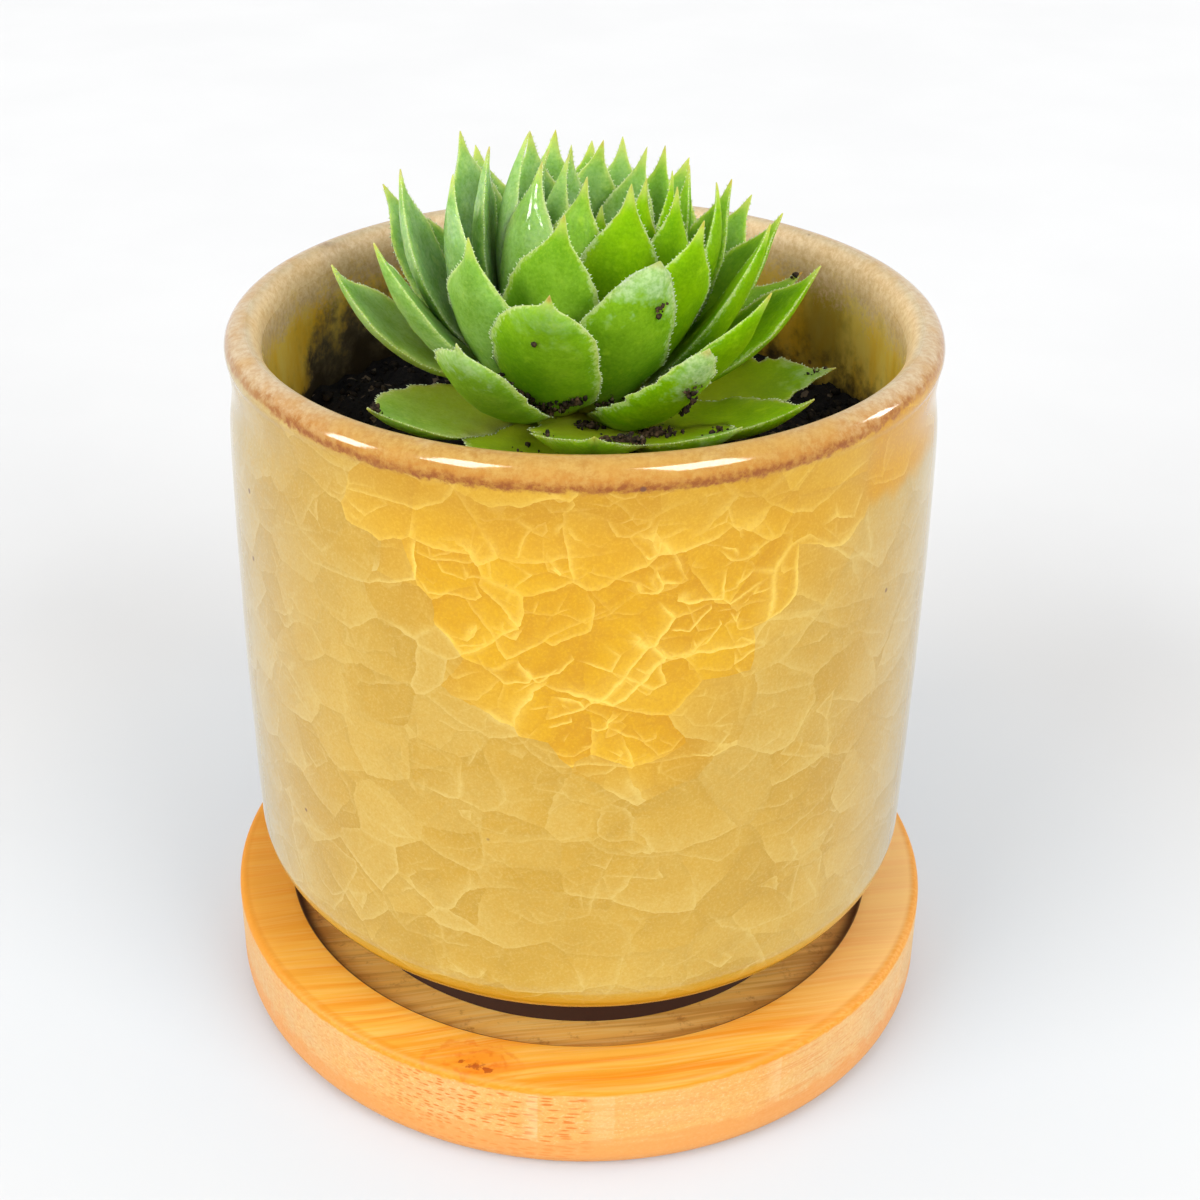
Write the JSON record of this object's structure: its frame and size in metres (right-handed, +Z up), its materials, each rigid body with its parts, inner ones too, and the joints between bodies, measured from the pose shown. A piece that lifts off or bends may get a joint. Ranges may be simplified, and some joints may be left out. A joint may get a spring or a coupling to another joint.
{
  "type": "potted houseleek",
  "caption": "Round glazed pot on a bamboo saucer, filled with soil and holding one rosette of pointed fleshy green leaves.",
  "frame": {"origin": "centre of the saucer's underside, on the axis of the pot", "axes": "+Z up along the pot's axis, -Y towards the front of the picture's view, +X to its right"},
  "size_m": [0.0876, 0.0876, 0.105],
  "materials": {
    "saucer": "sanded and oiled bamboo, satin",
    "pot": "glossy mustard crackle glaze, tan where it thins on the rim",
    "soil": "loose dark potting soil, matt",
    "stem": "rough brown stock and roots, matt",
    "rosette": "fleshy green leaf skin, satin"
  },
  "bodies": {
    "root": {"saucer": "saucer", "pot": "pot", "soil": "soil", "stem": "stem", "rosette": "rosette"}
  },
  "joints": []
}
